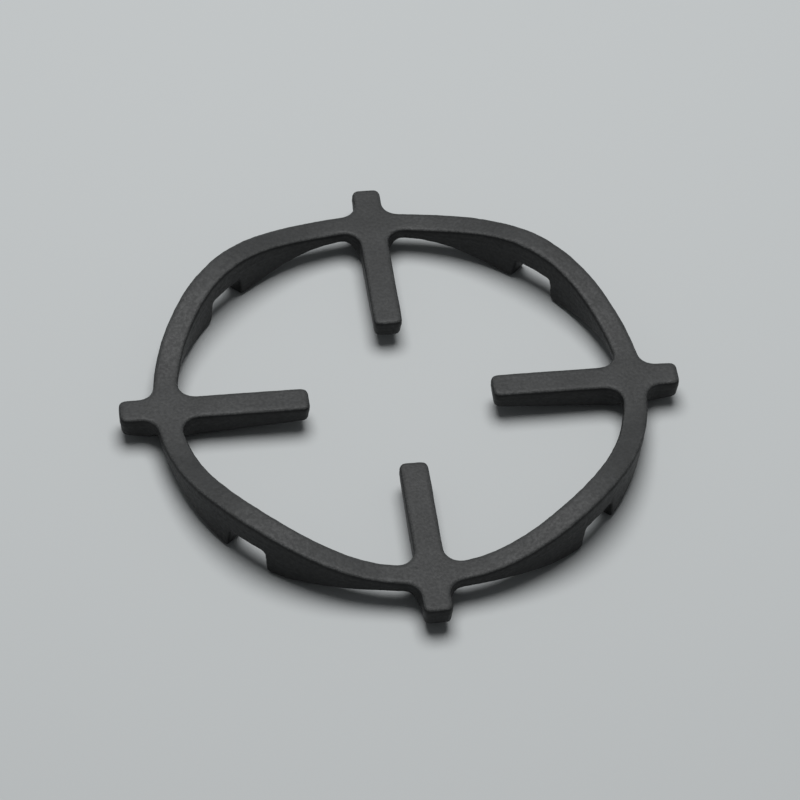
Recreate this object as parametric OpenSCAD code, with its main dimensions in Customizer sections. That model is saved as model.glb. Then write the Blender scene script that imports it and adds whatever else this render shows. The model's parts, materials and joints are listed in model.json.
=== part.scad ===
// Stove reducer ring: a round wall with four arms, cast in one piece. It carries a small
// pot over an opening that is too wide for it. Each quarter of the wall rises in an arch
// from one arm to the next, and a notch in its underside seats the ring.
// The outlines of the casting are drawn once in plan. The skin is a stack of rows, each
// the same outlines drawn in a little more, so that every edge comes out rounded.
// Heights are counted from the flat tops of the arms, below zero downwards, and the
// whole casting is then lifted until the lips beside the notches stand at z = 0.

/* [Ring] */
// Outer diameter of the ring
ring_d = 140.4; // [120:0.1:180]
// Thickness of the ring's wall, measured along the radius
wall = 7.2; // [5:0.1:9]
// Height of the wall where an arm crosses it
wall_h = 4.7; // [3:0.1:6]
// Rise of the wall's top edge, midway between two arms, above the arm tops
crest = 6; // [3:0.1:9]
// Drop of the wall's lower edge, midway between two arms, below its edge at the arms
belly = 5.8; // [4:0.1:10]
// Angle on each side of an arm over which the wall keeps its least height
level_a = 8; // [4:0.5:15]

/* [Arms] */
// Width of an arm
arm_w = 8.5; // [6:0.1:11]
// Clear width between the tips of two opposite arms
opening = 52; // [30:1:85]
// Length of the lug by which an arm stands out past the ring
lug = 9.8; // [7:0.1:18]
// Depth of an arm at its tip
tip_h = 6.1; // [4:0.1:8]
// Depth of an arm under the middle of the wall
root_h = 9.4; // [7:0.1:10]
// Depth of an arm at the end of its lug
lug_h = 6.8; // [4:0.1:8]

/* [Notches] */
// Width of a notch at its roof, rounded corners included
notch_w = 12.5; // [9:0.5:18]
// Depth of a notch's roof below the arm tops
notch_roof = 2.7; // [1:0.1:4]
// Slope of a notch's side walls away from upright
notch_slope = 6; // [2:1:15]
// Radius of the corners at a notch's roof and of the lips beside the notch
notch_r = 1.3; // [0.8:0.1:1.8]

/* [Cast edges] */
// Radius of the long edges, above and below
edge_r = 1.2; // [0.6:0.1:1.4]
// How far each side leans in from the top edge to the lower edge
draft = 0.35; // [0.1:0.05:0.5]
// Radius, in plan, of the hollow corners where an arm crosses the wall
fillet_r = 4.5; // [2:0.1:5]
// Radius, in plan, of the corners at the ends of an arm
corner_r = 2; // [1.95:0.05:2.5]

/* [Fineness] */
// Facets round a long edge
edge_steps = 3; // [2:1:4]
// Facets round a corner of an arm's end
corner_steps = 3; // [2:1:5]
// Facets round a hollow corner
fillet_steps = 5; // [3:1:6]
// Facets along the wall from a hollow corner to the lip of a notch
wall_steps = 7; // [5:1:9]

/* [Hidden] */

outer_r = ring_d / 2;
inner_r = outer_r - wall;
middle_r = outer_r - wall / 2;
lug_r = outer_r + lug;
tip_r = opening / 2;
arm_side = arm_w / 2;
// Share of a hollow corner over which the arm's deeper root runs up to the wall
root_share = 0.6;
// Angle from the middle of a quarter at which the wall levels out beside an arm
arch_a = 45 - level_a;

function polar(r, a) = [r * cos(a), r * sin(a)];
function arc(centre, r, from, to, steps) =
    [for (i = [0 : steps]) centre + polar(r, from + (to - from) * i / steps)];
function mix(a, b, share) = a + (b - a) * share;
function smooth(x) = (1 - cos(180 * min(1, x))) / 2;

// Heights along the wall, at an angle from the middle of a quarter
function arch(a) = smooth(1 - min(1, a / arch_a));
function wall_top(a) = crest * arch(a);
function wall_under(a) = -wall_h - belly * arch(a);

// Underside of an arm at a distance from the centre of the ring
function arm_under(x) = x > middle_r
    ? -mix(root_h, lug_h, (x - middle_r) / (lug_r - middle_r))
    : -mix(root_h, tip_h, (middle_r - x) / (middle_r - tip_r));

// Half a notch as [distance from its middle, height], from the lip to the middle of its
// roof: a rounded lip, a sloping side wall, a rounded inside corner and half the roof
roof_corner = [notch_w / 2 - notch_r, -notch_roof - notch_r];
wall_start = roof_corner + polar(notch_r, notch_slope);
lip_x = notch_w / 2 + notch_r + (wall_h + belly - notch_roof) * tan(notch_slope);
lip_z = wall_under(asin(lip_x / middle_r));
wall_end_z = lip_z + notch_r * (1 - sin(notch_slope));
wall_end = [wall_start[0] + (wall_start[1] - wall_end_z) * tan(notch_slope), wall_end_z];
lip_centre = wall_end + polar(notch_r, notch_slope);
half_notch = concat(
    arc(lip_centre, notch_r, 270, 180 + notch_slope, edge_steps),
    arc(roof_corner, notch_r, notch_slope, 90, edge_steps),
    [[0, -notch_roof]]
);

// Stations along half a quarter of the wall, from a hollow corner to the middle of the
// notch. Each is [share of the way to the lip, distance from the notch's middle, underside],
// and the underside is left open where the wall has its own lower edge.
stations = concat(
    [for (i = [1 : wall_steps - 1]) [i / wall_steps, lip_centre[0], undef]],
    [for (p = half_notch) [1, p[0], p[1]]]
);
function station_a(r, start, s) = start + s[0] * (45 - asin(s[1] / r) - start);

// Hollow corners: their centres touch the arm's side and the wall's outer or inner face
hollow_y = arm_side + fillet_r;
lug_hollow = [sqrt((outer_r + fillet_r) ^ 2 - hollow_y ^ 2), hollow_y];
arm_hollow = [sqrt((inner_r - fillet_r) ^ 2 - hollow_y ^ 2), hollow_y];
lug_hollow_a = atan2(hollow_y, lug_hollow[0]);
arm_hollow_a = atan2(hollow_y, arm_hollow[0]);

// Outlines in plan of half a quarter, drawn in by d, from the arm along +X to 45 degrees
function outer_half(d) = concat(
    arc([lug_r - corner_r, arm_side - corner_r], corner_r - d, 0, 90, corner_steps),
    arc(lug_hollow, fillet_r + d, -90, lug_hollow_a - 180, fillet_steps),
    [for (s = stations) polar(outer_r - d, station_a(outer_r - d, lug_hollow_a, s))]
);
function inner_half(d) = concat(
    arc([tip_r + corner_r, arm_side - corner_r], corner_r - d, 180, 90, corner_steps),
    arc(arm_hollow, fillet_r + d, -90, arm_hollow_a, fillet_steps),
    [for (s = stations) polar(inner_r + d, station_a(inner_r + d, arm_hollow_a, s))]
);

// Tops and undersides at the points of one such outline
function root_under(p, step) =
    mix(arm_under(p[0]), -wall_h, smooth((1 - cos(90 * step / fillet_steps)) / root_share));
function half_tops() = concat(
    [for (i = [0 : corner_steps + fillet_steps + 1]) 0],
    [for (s = stations) wall_top(middle_a(s))]
);
function half_unders(points) = concat(
    [for (i = [0 : corner_steps]) arm_under(points[i][0])],
    [for (i = [0 : fillet_steps]) root_under(points[corner_steps + 1 + i], i)],
    [for (s = stations) is_undef(s[2]) ? wall_under(middle_a(s)) : s[2]]
);
function middle_a(s) = 45 - station_a(middle_r, (lug_hollow_a + arm_hollow_a) / 2, s);

// A half quarter is mirrored across 45 degrees and turned to each arm in turn
half_count = corner_steps + fillet_steps + 2 + len(stations);
quarter_count = 2 * half_count - 1;
ring_count = 4 * quarter_count;
// First point of a half quarter that lies on a hollow corner
seam = corner_steps + 1;
function whole(half) = concat(half, [for (i = [half_count - 2 : -1 : 0]) half[i]]);
function swapped(half) =
    concat(half, [for (i = [half_count - 2 : -1 : 0]) [half[i][1], half[i][0]]]);
function turned(quarter, turn) =
    [for (p = quarter) [p[0] * cos(turn) - p[1] * sin(turn), p[0] * sin(turn) + p[1] * cos(turn)]];
function all_round(half) = [for (k = [0 : 3]) each turned(swapped(half), 90 * k)];
function all_levels(half) = [for (k = [0 : 3]) each whole(half)];
function raised(points, levels, by) =
    [for (i = [0 : len(points) - 1]) [points[i][0], points[i][1], levels[i] + by - lip_z]];

tops = all_levels(half_tops());
outer_unders = all_levels(half_unders(outer_half(0)));
inner_unders = all_levels(half_unders(inner_half(0)));
under_d = draft + edge_r;
middle_half = (outer_half(under_d) + inner_half(under_d)) / 2;

// Rows of the skin, from the top face to the underside, each as its outer points and
// then its inner points, and last the line along the middle of the underside
row_count = 2 * (edge_steps + 1);
skin_points = concat(
    [for (i = [0 : edge_steps], a = [90 * i / edge_steps])
        each concat(
            raised(all_round(outer_half(edge_r * (1 - sin(a)))), tops, edge_r * (cos(a) - 1)),
            raised(all_round(inner_half(edge_r * (1 - sin(a)))), tops, edge_r * (cos(a) - 1))
        )],
    [for (i = [0 : edge_steps], a = [90 * i / edge_steps])
        let (d = draft + edge_r * (1 - cos(a)), rise = edge_r * (1 - sin(a)))
        each concat(
            raised(all_round(outer_half(d)), outer_unders, rise),
            raised(all_round(inner_half(d)), inner_unders, rise)
        )],
    raised(all_round(middle_half), all_levels(half_unders(middle_half)), 0)
);

OUTER = 0;
INNER = 1;
function at(row, loop, i) = (2 * row + loop) * ring_count + i % ring_count;
last_row = row_count - 1;
function middle_at(i) = at(row_count, OUTER, i);
// The point on the other side of the same arm
function across(k, i) = (k + 3) % 4 * quarter_count + quarter_count - 1 - i;
function flipped(faces) = [for (f = faces) [for (i = [len(f) - 1 : -1 : 0]) f[i]]];

outer_side = [for (row = [0 : last_row - 1], i = [0 : ring_count - 1])
    [at(row, OUTER, i), at(row, OUTER, i + 1), at(row + 1, OUTER, i + 1), at(row + 1, OUTER, i)]];
inner_side = [for (row = [0 : last_row - 1], i = [0 : ring_count - 1])
    [at(row, INNER, i), at(row, INNER, i + 1), at(row + 1, INNER, i + 1), at(row + 1, INNER, i)]];

// Strips of a face between the two outlines, along each quarter of the wall
function wall_strips(a, b) = [for (k = [0 : 3], i = [seam : quarter_count - 2 - seam])
    let (j = k * quarter_count + i) [a + j, b + j, b + j + 1, a + j + 1]];
// Strips across the lug and the inner stretch of each arm
function arm_strips(first) = [for (k = [0 : 3], i = [0 : seam - 1])
    let (j = k * quarter_count + i)
    [first + j, first + across(k, i), first + across(k, i + 1), first + j + 1]];
// Strips across each arm where it crosses the wall
function crossing_strips(a, b) = [for (k = [0 : 3])
    let (j = k * quarter_count + seam)
    [a + j, a + across(k, seam), b + across(k, seam), b + j]];

top_face = concat(
    wall_strips(at(0, OUTER, 0), at(0, INNER, 0)),
    arm_strips(at(0, OUTER, 0)),
    flipped(arm_strips(at(0, INNER, 0))),
    crossing_strips(at(0, OUTER, 0), at(0, INNER, 0))
);
under_face = concat(
    wall_strips(at(last_row, OUTER, 0), middle_at(0)),
    wall_strips(middle_at(0), at(last_row, INNER, 0)),
    arm_strips(at(last_row, OUTER, 0)),
    flipped(arm_strips(at(last_row, INNER, 0))),
    crossing_strips(at(last_row, OUTER, 0), middle_at(0)),
    crossing_strips(middle_at(0), at(last_row, INNER, 0))
);

function halves(faces) = [for (f = faces) each [[f[0], f[1], f[2]], [f[0], f[2], f[3]]]];

module reducer_ring() {
    color([0.1, 0.1, 0.105])
        polyhedron(
            points = skin_points,
            faces = halves(concat(outer_side, flipped(inner_side), top_face, flipped(under_face)))
        );
}

reducer_ring();
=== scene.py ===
"""A stove reducer ring: one iron casting, enamelled matt black, on a pale studio floor."""
import json
import math

import bpy
import numpy as np
from mathutils import Matrix, Vector


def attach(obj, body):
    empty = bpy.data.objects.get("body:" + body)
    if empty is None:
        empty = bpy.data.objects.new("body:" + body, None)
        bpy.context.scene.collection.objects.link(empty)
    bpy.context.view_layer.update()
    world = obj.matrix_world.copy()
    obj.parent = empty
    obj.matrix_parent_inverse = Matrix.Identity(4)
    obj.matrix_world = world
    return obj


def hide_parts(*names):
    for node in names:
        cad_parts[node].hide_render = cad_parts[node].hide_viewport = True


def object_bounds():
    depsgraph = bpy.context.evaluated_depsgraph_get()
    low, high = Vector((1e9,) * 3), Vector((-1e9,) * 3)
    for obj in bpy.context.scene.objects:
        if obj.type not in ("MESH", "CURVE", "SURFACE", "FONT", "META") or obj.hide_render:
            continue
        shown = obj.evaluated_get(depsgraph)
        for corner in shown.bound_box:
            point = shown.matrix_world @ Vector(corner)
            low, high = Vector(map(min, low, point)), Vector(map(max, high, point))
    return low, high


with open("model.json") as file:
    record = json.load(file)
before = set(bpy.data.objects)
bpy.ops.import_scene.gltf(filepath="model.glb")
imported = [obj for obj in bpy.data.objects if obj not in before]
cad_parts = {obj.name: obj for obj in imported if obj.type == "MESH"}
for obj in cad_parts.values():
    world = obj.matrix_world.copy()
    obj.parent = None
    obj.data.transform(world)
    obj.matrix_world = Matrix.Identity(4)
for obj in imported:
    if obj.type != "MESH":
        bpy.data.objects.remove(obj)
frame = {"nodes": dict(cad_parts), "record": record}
cad_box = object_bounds()


# Camera: a long lens that looks down on the ring from the front, a little from the left,
# and leans a few degrees. It aims at the plane of the four arms' flat tops.
LENS_MM = 200
CAMERA_AZIMUTH = math.radians(-10.37)
CAMERA_ELEVATION = math.radians(48.51)
CAMERA_LEAN = math.radians(3.75)
CAMERA_DISTANCE = 1.2555
mounts = {mount["name"]: mount["pos_m"] for mount in frame["record"]["mounts"]}
arm_top_z = mounts["arm_top_px"][2]
CAMERA_AIM = Vector((-0.0007, -0.0034, arm_top_z))

camera_back = Vector((
    math.sin(CAMERA_AZIMUTH) * math.cos(CAMERA_ELEVATION),
    -math.cos(CAMERA_AZIMUTH) * math.cos(CAMERA_ELEVATION),
    math.sin(CAMERA_ELEVATION),
))
bpy.ops.object.camera_add(location=CAMERA_AIM + camera_back * CAMERA_DISTANCE)
camera = bpy.context.object
camera.name = "camera"
camera.data.lens = LENS_MM
camera.data.sensor_width = 36
camera.data.clip_start = 0.1
camera.data.clip_end = 20
camera.rotation_mode = "QUATERNION"
level = (-camera_back).to_track_quat("-Z", "Y")
camera.rotation_quaternion = level @ Matrix.Rotation(CAMERA_LEAN, 3, "Z").to_quaternion()
bpy.context.scene.camera = camera


# The casting. The real ring is one piece of sand-cast iron, so this is one closed skin.
# The solid is copied and merged, meshed again with small even faces, and eased a little
# where its facets meet, as the thick enamel does on the real one.
FACE_SIZE = 0.00045
EASE_STEPS = 4

cad_ring = frame["nodes"]["reducer_ring"]
ring = bpy.data.objects.new("ring_casting", cad_ring.data.copy())
bpy.context.scene.collection.objects.link(ring)
bpy.ops.object.select_all(action="DESELECT")
bpy.context.view_layer.objects.active = ring
ring.select_set(True)
bpy.ops.mesh.customdata_custom_splitnormals_clear()
bpy.ops.object.mode_set(mode="EDIT")
bpy.ops.mesh.select_all(action="SELECT")
bpy.ops.mesh.remove_doubles(threshold=1e-6)
bpy.ops.object.mode_set(mode="OBJECT")

fine = ring.modifiers.new("even_faces", "REMESH")
fine.mode = "VOXEL"
fine.voxel_size = FACE_SIZE
bpy.ops.object.modifier_apply(modifier=fine.name)
ease = ring.modifiers.new("eased_edges", "SMOOTH")
ease.factor = 0.5
ease.iterations = EASE_STEPS
bpy.ops.object.modifier_apply(modifier=ease.name)


# The skin that the sand mould leaves. The raised quarters are the coarsest, a low ridge
# runs round the sides where the two halves of the mould met, and small drops of iron
# stand on the surface here and there.
PARTING_BELOW_TOP = 0.0026
PARTING_RISE = 0.7
LEVEL_ANGLE = math.radians(8)
RIDGE_HALF_WIDTH = 0.00028
RIDGE_HEIGHT = 0.00012
# Place on the ring, radius and height of each drop
DROPS = (
    ((-0.0340, 0.0012, 0.00997), 0.00055, 0.00038),
    ((-0.0714, -0.0049, 0.0056), 0.0007, 0.00035),
    ((0.0602, -0.0048, 0.0055), 0.0007, 0.00035),
    ((0.0709, -0.0056, 0.0074), 0.0006, 0.0003),
    ((0.0575, 0.0022, 0.00997), 0.0004, 0.0002),
)


def points_and_normals(thing):
    count = len(thing.data.vertices)
    points = np.empty(count * 3)
    normals = np.empty(count * 3)
    thing.data.vertices.foreach_get("co", points)
    thing.data.vertices.foreach_get("normal", normals)
    return points.reshape(-1, 3), normals.reshape(-1, 3)


def weigh(thing, name, weights):
    """Keeps a weight from 0 to 1 for each point, in steps of a twentieth."""
    group = thing.vertex_groups.new(name=name)
    steps = np.rint(np.clip(weights, 0, 1) * 20).astype(int)
    for step in range(1, 21):
        members = np.flatnonzero(steps == step)
        if len(members):
            group.add(members.tolist(), step / 20, "REPLACE")
    return group.name


def push_out(thing, name, height, group="", grain=None, middle=0.0):
    """Moves the surface out along its normals, by a grain's value or by the group's weight."""
    push = thing.modifiers.new(name, "DISPLACE")
    push.strength = height
    push.mid_level = middle
    push.vertex_group = group
    if grain:
        push.texture = grain
        push.texture_coords = "LOCAL"
    bpy.ops.object.modifier_apply(modifier=push.name)


def cloud(name, size, depth=2):
    grain = bpy.data.textures.new(name, "CLOUDS")
    grain.noise_scale = size
    grain.noise_depth = depth
    return grain


points, normals = points_and_normals(ring)
angles = np.arctan2(points[:, 1], points[:, 0])
from_middle = np.abs(np.mod(angles, math.pi / 2) - math.pi / 4)
reach = np.clip(1 - from_middle / (math.pi / 4 - LEVEL_ANGLE), 0, 1)
arch = (1 - np.cos(math.pi * reach)) / 2
crest = cad_box[1].z - arm_top_z
parting_z = arm_top_z - PARTING_BELOW_TOP + PARTING_RISE * crest * arch
on_side = np.abs(normals[:, 2]) < 0.4
ridge = np.exp(-((points[:, 2] - parting_z) / RIDGE_HALF_WIDTH) ** 2) * on_side
patchy = 0.6 + 0.4 * np.sin(angles * 9) * np.sin(angles * 23 + 1)
quarters = weigh(ring, "raised_quarters", 0.25 + 0.75 * arch)
parting = weigh(ring, "parting_ridge", ridge * patchy)
near_drops = np.zeros(len(points))
for place, radius, height in DROPS:
    gap = np.linalg.norm(points - np.array(place), axis=1) / radius
    near_drops = np.maximum(near_drops, np.clip(1 - gap ** 2, 0, 1) * height / DROPS[0][2])
drops = weigh(ring, "iron_drops", near_drops)

push_out(ring, "mould_ridge", RIDGE_HEIGHT, parting)
push_out(ring, "drops", DROPS[0][2], drops)
push_out(ring, "uneven_cast", 0.00022, grain=cloud("uneven_cast", 0.009, 1), middle=0.8)
push_out(ring, "sand_skin", 0.00016, quarters, cloud("sand_skin", 0.0016, 2), 0.7)
push_out(ring, "sand_grain", 0.00006, grain=cloud("sand_grain", 0.0007, 1), middle=0.7)
ring.vertex_groups.clear()

fewer = ring.modifiers.new("fewer_faces", "DECIMATE")
fewer.ratio = 190000 / (2 * len(ring.data.polygons))
bpy.ops.object.modifier_apply(modifier=fewer.name)
bpy.ops.object.shade_smooth()

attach(ring, "root")
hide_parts("reducer_ring")


# The enamel: a thin matt black coat, baked on. It takes on the grain of the iron. Its base colour also
# holds painted
# light and shade: upward faces painted lighter grey, sides painted near black, and a painted highlight
# along the rounded edges.
# Painted shade and light: near black for the sides, lighter grey for upward faces, paler grey for the
# painted highlight on the rounded edges.
PAINTED_SHADE_SIDE_BLACK = (0.0075, 0.008, 0.0083, 1)
PAINTED_LIGHT_TOP_GREY = (0.033, 0.0345, 0.035, 1)
PAINTED_HIGHLIGHT_EDGE_GREY = (0.06, 0.062, 0.062, 1)

enamel = bpy.data.materials.new("black_enamel")
enamel.use_nodes = True
tree = enamel.node_tree
shader = tree.nodes["Principled BSDF"]
place = tree.nodes.new("ShaderNodeTexCoord")


def plug(value, socket):
    if isinstance(value, bpy.types.NodeSocket):
        tree.links.new(value, socket)
    else:
        socket.default_value = value


def grain(size, detail=2.0, rough=0.55, distort=0.0):
    noise = tree.nodes.new("ShaderNodeTexNoise")
    tree.links.new(place.outputs["Object"], noise.inputs["Vector"])
    noise.inputs["Scale"].default_value = 1 / size
    noise.inputs["Detail"].default_value = detail
    noise.inputs["Roughness"].default_value = rough
    noise.inputs["Distortion"].default_value = distort
    return noise.outputs["Fac"]


def spread(value, low, high, to_low=0.0, to_high=1.0):
    """Takes the span from low to high to the span from to_low to to_high, eased and clamped."""
    span = tree.nodes.new("ShaderNodeMapRange")
    span.interpolation_type = "SMOOTHSTEP"
    plug(value, span.inputs["Value"])
    for name, number in zip(("From Min", "From Max", "To Min", "To Max"), (low, high, to_low, to_high)):
        span.inputs[name].default_value = number
    return span.outputs["Result"]


def sums(operation, first, second=0.0, third=0.0):
    step = tree.nodes.new("ShaderNodeMath")
    step.operation = operation
    plug(first, step.inputs[0])
    plug(second, step.inputs[1])
    plug(third, step.inputs[2])
    return step.outputs["Value"]


def blend(share, first, second, kind="MIX"):
    mixed = tree.nodes.new("ShaderNodeMix")
    mixed.data_type = "RGBA"
    mixed.blend_type = kind
    plug(share, mixed.inputs["Factor"])
    plug(first, mixed.inputs["A"])
    plug(second, mixed.inputs["B"])
    return mixed.outputs["Result"]


facing = tree.nodes.new("ShaderNodeSeparateXYZ")
tree.links.new(place.outputs["Normal"], facing.inputs["Vector"])
upward = facing.outputs["Z"]

sand = grain(0.0009, 3, 0.6)
powder = grain(0.0003, 2, 0.6)
patches = grain(0.009, 3, 0.6, 0.4)

# Painted light: this mask greys the upward faces, read from the object-space normal.
painted_top_light = spread(upward, 0.45, 0.93)
# Painted highlight: this mask lays a paler grey on the rounded edges, broken up by fine grain.
painted_edge_highlight = sums("MULTIPLY", spread(upward, 0.45, 0.8), spread(upward, 0.995, 0.9))
painted_edge_highlight = sums("MULTIPLY", painted_edge_highlight, spread(powder, 0.4, 0.62))
body = blend(painted_top_light, PAINTED_SHADE_SIDE_BLACK, PAINTED_LIGHT_TOP_GREY)
body = blend(painted_edge_highlight, body, PAINTED_HIGHLIGHT_EDGE_GREY)
shade = sums("MULTIPLY_ADD", spread(sand, 0.3, 0.7), 0.3, 0.85)
shade = sums("MULTIPLY", shade, spread(patches, 0.3, 0.7, 0.9, 1.1))
tone = tree.nodes.new("ShaderNodeCombineColor")
for channel in ("Red", "Green", "Blue"):
    tree.links.new(shade, tone.inputs[channel])
tree.links.new(blend(1.0, body, tone.outputs["Color"], "MULTIPLY"), shader.inputs["Base Color"])
tree.links.new(spread(sand, 0.3, 0.7, 0.62, 0.5), shader.inputs["Roughness"])
shader.inputs["Specular IOR Level"].default_value = 0.3

height = sums("MULTIPLY_ADD", powder, 0.35, sand)
bump = tree.nodes.new("ShaderNodeBump")
bump.inputs["Strength"].default_value = 0.6
bump.inputs["Distance"].default_value = 0.00015
tree.links.new(height, bump.inputs["Height"])
tree.links.new(bump.outputs["Normal"], shader.inputs["Normal"])

ring.data.materials.clear()
ring.data.materials.append(enamel)


# The studio: a pale floor that the ring stands on, a large soft lamp above it and a little
# behind, and an even pale surround.
bpy.ops.mesh.primitive_plane_add(size=8, location=(0, 0, cad_box[0].z))
floor = bpy.context.object
floor.name = "floor"
floor_paint = bpy.data.materials.new("floor_paint")
floor_paint.use_nodes = True
floor_shader = floor_paint.node_tree.nodes["Principled BSDF"]
floor_shader.inputs["Base Color"].default_value = (0.50, 0.52, 0.525, 1)
floor_shader.inputs["Roughness"].default_value = 0.9
floor_shader.inputs["Specular IOR Level"].default_value = 0.1
floor.data.materials.append(floor_paint)

LAMP_HEIGHT = 1.2
LAMP_BEHIND = 0.3
bpy.ops.object.light_add(type="AREA", location=(0, LAMP_BEHIND, LAMP_HEIGHT))
lamp = bpy.context.object
lamp.name = "overhead_lamp"
lamp.data.shape = "DISK"
lamp.data.size = 0.9
lamp.data.energy = 16
lamp.rotation_euler = (-math.atan2(LAMP_BEHIND, LAMP_HEIGHT), 0, 0)

world = bpy.data.worlds.new("studio")
bpy.context.scene.world = world
world.use_nodes = True
surround = world.node_tree.nodes["Background"]
surround.inputs["Color"].default_value = (0.9, 0.93, 0.95, 1)
surround.inputs["Strength"].default_value = 0.12

bpy.context.scene.view_settings.view_transform = "Standard"
